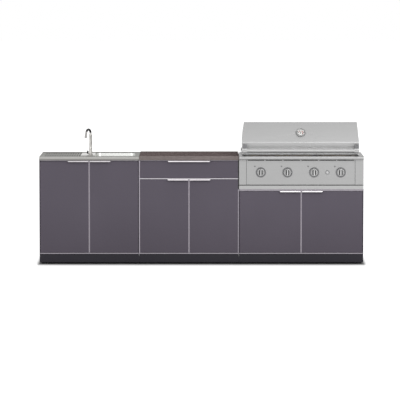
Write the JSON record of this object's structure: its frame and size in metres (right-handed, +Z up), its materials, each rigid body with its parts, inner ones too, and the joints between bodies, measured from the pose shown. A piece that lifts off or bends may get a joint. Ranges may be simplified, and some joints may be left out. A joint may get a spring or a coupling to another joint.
{
  "type": "outdoor kitchen island",
  "caption": "Free-standing outdoor kitchen in a row: sink cabinet with drainboard and faucet, drawer cabinet with a stone top, and gas grill cabinet with a hinged lid.",
  "frame": {"origin": "on the floor under the middle of the bounding box", "axes": "+Z up, the doors face -Y, +X to the right from the sink to the grill"},
  "size_m": [2.642, 0.64, 1.1528],
  "materials": {
    "sink_door_left": "slate coloured panel in a thin aluminium frame",
    "sink_door_right": "slate coloured panel in a thin aluminium frame",
    "drawer_cabinet_door_left": "slate coloured panel in a thin aluminium frame",
    "drawer_cabinet_door_right": "slate coloured panel in a thin aluminium frame",
    "grill_door_left": "slate coloured panel in a thin aluminium frame",
    "grill_door_right": "slate coloured panel in a thin aluminium frame",
    "sink_pull_left": "bright satin",
    "sink_pull_right": "bright satin",
    "drawer_cabinet_pull_left": "bright satin",
    "drawer_cabinet_pull_right": "bright satin",
    "grill_pull_left": "bright satin",
    "grill_pull_right": "bright satin",
    "drawer_front": "slate coloured panel in a thin aluminium frame",
    "drawer_pull": "bright satin",
    "drawer_box": "brushed",
    "slide_outer_members": "zinc plated",
    "slide_middle_members": "zinc plated",
    "slide_inner_members": "zinc plated",
    "lid_shell": "brushed",
    "lid_handle": "brushed",
    "lid_thermometer": "polished rim, pale dial",
    "knob_1": "satin, bright grip bar",
    "knob_2": "satin, bright grip bar",
    "knob_3": "satin, bright grip bar",
    "knob_4": "satin, bright grip bar",
    "valve_plug_1": "machined",
    "valve_plug_2": "machined",
    "valve_plug_3": "machined",
    "valve_plug_4": "machined",
    "igniter_button": "black",
    "faucet_body": "satin steel",
    "faucet_spout": "satin steel",
    "faucet_cap": "satin steel",
    "faucet_lever": "black",
    "sink_top": "brushed",
    "sink_bowl": "fine satin",
    "strainer_basket": "satin",
    "sink_drain": "pale",
    "granite_worktop": "honed brown grey granite",
    "cabinet_side_panels": "slate coloured board",
    "cabinet_back_panels": "slate coloured board",
    "cabinet_floors_and_shelf": "slate coloured board",
    "cabinet_rails": "satin",
    "toe_kicks": "matt powder coat",
    "levelling_feet": "black",
    "door_pivot_pins": "plain",
    "assembly_bolts": "zinc plated",
    "grill_casing": "brushed",
    "grill_firebox": "satin",
    "grill_deck": "brushed",
    "control_panel": "brushed",
    "panel_rings": "polished",
    "burners": "satin",
    "flame_tamers": "satin",
    "cooking_grates": "seasoned black",
    "gas_rail": "machined",
    "drip_tray": "brushed",
    "tray_runners": "plain",
    "warming_rack": "plated",
    "lid_hinges": "brushed"
  },
  "bodies": {
    "island": {"slide_outer_members": "slide_outer_members", "faucet_body": "faucet_body", "sink_top": "sink_top", "sink_bowl": "sink_bowl", "sink_drain": "sink_drain", "granite_worktop": "granite_worktop", "cabinet_side_panels": "cabinet_side_panels", "cabinet_back_panels": "cabinet_back_panels", "cabinet_floors_and_shelf": "cabinet_floors_and_shelf", "cabinet_rails": "cabinet_rails", "toe_kicks": "toe_kicks", "levelling_feet": "levelling_feet", "door_pivot_pins": "door_pivot_pins", "assembly_bolts": "assembly_bolts", "grill_casing": "grill_casing", "grill_firebox": "grill_firebox", "grill_deck": "grill_deck", "control_panel": "control_panel", "panel_rings": "panel_rings", "burners": "burners", "flame_tamers": "flame_tamers", "gas_rail": "gas_rail", "tray_runners": "tray_runners", "warming_rack": "warming_rack", "lid_hinges": "lid_hinges"},
    "sink_door_left": {"sink_door_left": "sink_door_left", "sink_pull_left": "sink_pull_left"},
    "sink_door_right": {"sink_door_right": "sink_door_right", "sink_pull_right": "sink_pull_right"},
    "drawer_cabinet_door_left": {"drawer_cabinet_door_left": "drawer_cabinet_door_left", "drawer_cabinet_pull_left": "drawer_cabinet_pull_left"},
    "drawer_cabinet_door_right": {"drawer_cabinet_door_right": "drawer_cabinet_door_right", "drawer_cabinet_pull_right": "drawer_cabinet_pull_right"},
    "grill_door_left": {"grill_door_left": "grill_door_left", "grill_pull_left": "grill_pull_left"},
    "grill_door_right": {"grill_door_right": "grill_door_right", "grill_pull_right": "grill_pull_right"},
    "drawer": {"drawer_front": "drawer_front", "drawer_pull": "drawer_pull", "drawer_box": "drawer_box", "slide_inner_members": "slide_inner_members"},
    "slide_middles": {"slide_middle_members": "slide_middle_members"},
    "lid": {"lid_shell": "lid_shell", "lid_handle": "lid_handle", "lid_thermometer": "lid_thermometer"},
    "valve_plug_1": {"valve_plug_1": "valve_plug_1"},
    "knob_1": {"knob_1": "knob_1"},
    "valve_plug_2": {"valve_plug_2": "valve_plug_2"},
    "knob_2": {"knob_2": "knob_2"},
    "valve_plug_3": {"valve_plug_3": "valve_plug_3"},
    "knob_3": {"knob_3": "knob_3"},
    "valve_plug_4": {"valve_plug_4": "valve_plug_4"},
    "knob_4": {"knob_4": "knob_4"},
    "igniter_button": {"igniter_button": "igniter_button"},
    "faucet_spout": {"faucet_spout": "faucet_spout"},
    "faucet_cap": {"faucet_cap": "faucet_cap"},
    "faucet_lever": {"faucet_lever": "faucet_lever"},
    "drip_tray": {"drip_tray": "drip_tray"},
    "strainer_basket": {"strainer_basket": "strainer_basket"},
    "cooking_grates": {"cooking_grates": "cooking_grates"}
  },
  "joints": [
    {"name": "sink_door_left_hinge", "type": "hinge", "parent": "island", "child": "sink_door_left", "pos_m": [-1.302, -0.2825, 0.4], "axis": [0, 0, -1], "range_deg": [0, 90]},
    {"name": "sink_door_right_hinge", "type": "hinge", "parent": "island", "child": "sink_door_right", "pos_m": [-0.527, -0.2825, 0.4], "axis": [0, 0, 1], "range_deg": [0, 90]},
    {"name": "drawer_cabinet_door_left_hinge", "type": "hinge", "parent": "island", "child": "drawer_cabinet_door_left", "pos_m": [-0.489, -0.2825, 0.4], "axis": [0, 0, -1], "range_deg": [0, 90]},
    {"name": "drawer_cabinet_door_right_hinge", "type": "hinge", "parent": "island", "child": "drawer_cabinet_door_right", "pos_m": [0.286, -0.2825, 0.4], "axis": [0, 0, 1], "range_deg": [0, 90]},
    {"name": "grill_door_left_hinge", "type": "hinge", "parent": "island", "child": "grill_door_left", "pos_m": [0.324, -0.2825, 0.4], "axis": [0, 0, -1], "range_deg": [0, 90]},
    {"name": "grill_door_right_hinge", "type": "hinge", "parent": "island", "child": "grill_door_right", "pos_m": [1.302, -0.2825, 0.4], "axis": [0, 0, 1], "range_deg": [0, 90]},
    {"name": "drawer_slide", "type": "slide", "parent": "island", "child": "drawer", "axis": [0, -1, 0], "range_m": [0, 0.4]},
    {"name": "slide_middles_slide", "type": "slide", "parent": "island", "child": "slide_middles", "axis": [0, -1, 0], "range_m": [0, 0.2]},
    {"name": "lid_hinge", "type": "hinge", "parent": "island", "child": "lid", "pos_m": [0.809, 0.143, 0.91], "axis": [-1, 0, 0], "range_deg": [0, 80]},
    {"name": "knob_1_turn", "type": "hinge", "parent": "island", "child": "valve_plug_1", "pos_m": [0.4835, -0.26, 0.75], "axis": [0, -1, 0], "range_deg": [0, 215]},
    {"name": "knob_1_push", "type": "slide", "parent": "valve_plug_1", "child": "knob_1", "axis": [0, 1, 0], "range_m": [0, 0.004], "stiffness_N_per_m": 1200, "springref_m": -0.003},
    {"name": "knob_2_turn", "type": "hinge", "parent": "island", "child": "valve_plug_2", "pos_m": [0.7005, -0.26, 0.75], "axis": [0, -1, 0], "range_deg": [0, 215]},
    {"name": "knob_2_push", "type": "slide", "parent": "valve_plug_2", "child": "knob_2", "axis": [0, 1, 0], "range_m": [0, 0.004], "stiffness_N_per_m": 1200, "springref_m": -0.003},
    {"name": "knob_3_turn", "type": "hinge", "parent": "island", "child": "valve_plug_3", "pos_m": [0.9175, -0.26, 0.75], "axis": [0, -1, 0], "range_deg": [0, 215]},
    {"name": "knob_3_push", "type": "slide", "parent": "valve_plug_3", "child": "knob_3", "axis": [0, 1, 0], "range_m": [0, 0.004], "stiffness_N_per_m": 1200, "springref_m": -0.003},
    {"name": "knob_4_turn", "type": "hinge", "parent": "island", "child": "valve_plug_4", "pos_m": [1.1345, -0.26, 0.75], "axis": [0, -1, 0], "range_deg": [0, 215]},
    {"name": "knob_4_push", "type": "slide", "parent": "valve_plug_4", "child": "knob_4", "axis": [0, 1, 0], "range_m": [0, 0.004], "stiffness_N_per_m": 1200, "springref_m": -0.003},
    {"name": "igniter_push", "type": "slide", "parent": "island", "child": "igniter_button", "axis": [0, 1, 0], "range_m": [0, 0.0035], "stiffness_N_per_m": 1200, "springref_m": -0.003},
    {"name": "spout_swivel", "type": "hinge", "parent": "island", "child": "faucet_spout", "pos_m": [-0.91, -0.07, 0.94], "axis": [0, 0, 1], "range_deg": [-60, 120]},
    {"name": "faucet_cap_turn", "type": "hinge", "parent": "island", "child": "faucet_cap", "pos_m": [-0.9333, -0.07, 0.899], "axis": [1, 0, 0], "range_deg": [-40, 40]},
    {"name": "faucet_lever_tilt", "type": "hinge", "parent": "faucet_cap", "child": "faucet_lever", "pos_m": [-0.9333, -0.07, 0.899], "axis": [0, -1, 0], "range_deg": [0, 25]},
    {"name": "drip_tray_slide", "type": "slide", "parent": "island", "child": "drip_tray", "axis": [0, -1, 0], "range_m": [0, 0.35]},
    {"name": "strainer_basket_lift", "type": "slide", "parent": "island", "child": "strainer_basket", "axis": [0, 0, 1], "range_m": [0, 0.12]},
    {"name": "cooking_grates_lift", "type": "slide", "parent": "island", "child": "cooking_grates", "axis": [0, 0, 1], "range_m": [0, 0.05]}
  ],
  "couplings": [
    {"joint": "slide_middles_slide", "follows": "drawer_slide", "ratio": 0.5}
  ]
}
